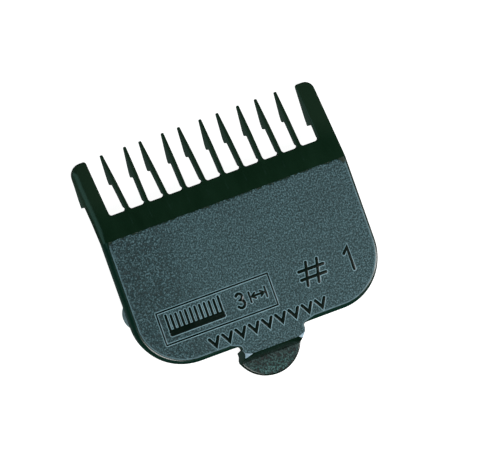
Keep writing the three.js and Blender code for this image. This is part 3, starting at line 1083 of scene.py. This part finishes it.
def highlight_paint(name, tones):
    """Borders, feet, facets and lugs painted lighter as a painted highlight, as far as the ridge.
    """
    n = Nodes(name)
    axes = n.add("ShaderNodeSeparateXYZ")
    n.link(n.place, axes.inputs["Vector"])
    patches = n.noise(per_mm(0.8), 3.0, 0.6)
    dark, light = tones
    colour = n.ramp(patches, (0.3, dark), (0.7, light))
    n.link(n.blend(past_ridge(n, axes), colour, POLISHED_COLOUR), n.shader.inputs["Base Color"])
    roughness = n.spread(patches, *NOISE_BAND, *HIGHLIGHT_ROUGHNESS)
    n.link(roughness, n.shader.inputs["Roughness"])
    n.bump(n.noise(per_mm(2.5), 2.0), HIGHLIGHT_RELIEF, 0.6)
    n.shader.inputs["Specular IOR Level"].default_value = PLAIN_SPECULAR
    return n.material


def dress(obj, materials):
    for material in materials:
        obj.data.materials.append(material)


def spread_grain(obj):
    """Grain on the level faces of the tab's end, and a painted glint on the facets of its step.
    """
    for face in obj.data.polygons:
        across, _, up = face.normal
        if up > LEVEL_FACE:
            face.material_index = GRAINED if face.center.z > UNDER_Z else PAD_GRAINED
        elif abs(across) > FACET_ACROSS and up > FACET_UP and face.center.z > FACET_LOW_Z:
            face.material_index = PAINTED_HIGHLIGHT


# ---- camera, lights, floor

def add_camera():
    """A long lens far away, which looks straight at the face but for a tilt and a roll."""
    back = Vector((-math.sin(TILT), math.sin(PITCH), math.cos(TILT))).normalized()
    along = Vector((0, 1, 0))
    along = (along - along.dot(back) * back).normalized()
    across = along.cross(back)
    right = across * math.cos(ROLL) - along * math.sin(ROLL)
    up = across * math.sin(ROLL) + along * math.cos(ROLL)
    data = bpy.data.cameras.new("camera")
    camera = bpy.data.objects.new("camera", data)
    bpy.context.scene.collection.objects.link(camera)
    data.sensor_width = SENSOR
    data.lens = SENSOR * DISTANCE / VIEW_WIDTH
    data.clip_start = CLIP_NEAR
    data.clip_end = CLIP_FAR
    target = Vector((0, 0, FACE_Z)) + right * SHIFT_RIGHT + up * SHIFT_UP
    turn = Matrix((right, up, back)).transposed().to_4x4()
    camera.matrix_world = Matrix.Translation(target + back * DISTANCE) @ turn
    bpy.context.scene.camera = camera


def add_light(name, towards, distance, size, power, colour=(1, 1, 1)):
    data = bpy.data.lights.new(name, "AREA")
    data.shape = "RECTANGLE"
    data.size, data.size_y = size
    data.energy = power
    data.color = colour
    light = bpy.data.objects.new(name, data)
    bpy.context.scene.collection.objects.link(light)
    direction = Vector(towards).normalized()
    light.location = direction * distance
    light.rotation_euler = direction.to_track_quat("Z", "Y").to_euler()


def add_sky():
    """A dim sky. Below the horizon it is darker still, but brighter towards the left."""
    world = bpy.data.worlds.new("studio")
    bpy.context.scene.world = world
    world.use_nodes = True
    tree = world.node_tree
    background = tree.nodes["Background"]
    background.inputs["Color"].default_value = SKY_COLOUR
    place = tree.nodes.new("ShaderNodeTexCoord")
    axes = tree.nodes.new("ShaderNodeSeparateXYZ")
    height = tree.nodes.new("ShaderNodeMapRange")
    side = tree.nodes.new("ShaderNodeMapRange")
    fill_range(side, *LEFT_BAND, LEFT_GLOW, LOW_GLOW)
    fill_range(height, *HORIZON_BAND, LOW_GLOW, SKY_GLOW)
    tree.links.new(place.outputs["Generated"], axes.inputs["Vector"])
    tree.links.new(axes.outputs["Z"], height.inputs["Value"])
    tree.links.new(axes.outputs["X"], side.inputs["Value"])
    tree.links.new(side.outputs["Result"], height.inputs["To Min"])
    tree.links.new(height.outputs["Result"], background.inputs["Strength"])


def add_floor():
    bm = bmesh.new()
    bmesh.ops.create_grid(bm, x_segments=1, y_segments=1, size=FLOOR_HALF)
    mesh = bpy.data.meshes.new("floor")
    bm.to_mesh(mesh)
    bm.free()
    floor = bpy.data.objects.new("floor", mesh)
    bpy.context.scene.collection.objects.link(floor)
    floor.location.z = CAD_BOX[0][2] - FLOOR_GAP
    floor.visible_glossy = False
    dress(floor, [floor_paint()])


def add_studio():
    bpy.context.scene.view_settings.view_transform = "Standard"
    add_sky()
    add_light("rear_key", towards=(-0.22, -0.5, 1.0), distance=0.28, size=(0.12, 0.08),
              power=0.51)
    add_light("right_soft", towards=(1.0, -0.35, 0.9), distance=0.22, size=(0.05, 0.14),
              power=0.33)
    add_light("left_panel", towards=(-0.8, 0.38, 0.42), distance=0.7, size=(0.3, 1.0),
              power=0.95, colour=(0.45, 1.0, 0.9))
    add_floor()


def dress_face(plates, rails, tab_end):
    """Plate, tongue and tab end: grained on top, a painted highlight at the border, polished at
    the rim; the step is painted shade and its facets a painted glint.
    """
    rim = polished_plastic("rim_plastic", RIM_TONES)
    # The step's polish is painted darker: painted shade
    step = polished_plastic("step_shade_paint", STEP_SHADE_TONES)
    border_highlight = highlight_paint("highlight_paint", BORDER_HIGHLIGHT_TONES)
    # The step's corner facets are painted light: a painted glint
    facet_glint = highlight_paint("facet_glint_paint", FACET_GLINT_TONES)
    grained = grained_plastic("grained_plastic", FACE_GRAIN, FACE_TONES)
    pad = grained_plastic("pad_grained_plastic", PAD_GRAIN, PAD_TONES, STEP_LOW.y)
    for obj in plates:
        dress(obj, [rim, border_highlight, grained])
    for obj in rails:
        dress(obj, [rim])
    dress(tab_end, [step, facet_glint, grained, pad])
    spread_grain(tab_end)


def dress_front(polished, lugs):
    """The slope, the teeth and the catch lip are polished, and the lugs are painted lighter, a
    painted highlight.
    """
    polish = polished_plastic("polished_plastic", POLISHED_TONES)
    for obj in polished:
        dress(obj, [polish])
    lug_highlight = highlight_paint("lug_highlight_paint", LUG_HIGHLIGHT_TONES)
    for obj in lugs:
        dress(obj, [lug_highlight])


def dress_marks(marks):
    """Strokes in a polish painted darker, a painted shade, on feet painted lighter, a painted
    highlight.
    """
    mark = polished_plastic("mark_shade_paint", MARK_SHADE_TONES, MARK_ROUGHNESS)
    foot = highlight_paint("mark_foot_highlight_paint", MARK_FOOT_HIGHLIGHT_TONES)
    for obj in marks:
        dress(obj, [mark, foot])


def main():
    add_camera()
    plate, slope, tongue = build_plate(), build_slope(), build_tongue()
    end_teeth, tab_end = build_end_teeth(), build_tab_end()
    teeth = [build_tooth(number) for number in range(1, TOOTH_COUNT + 1)]
    catch_lip, rails, lugs = build_catch_lip(), build_rails(), build_lugs()
    marks = [*build_label(), *build_size_marks(), build_release_marks()]
    dress_face([plate, tongue], rails, tab_end)
    dress_front([slope, *end_teeth, *teeth, catch_lip], lugs)
    dress_marks(marks)
    add_studio()


main()
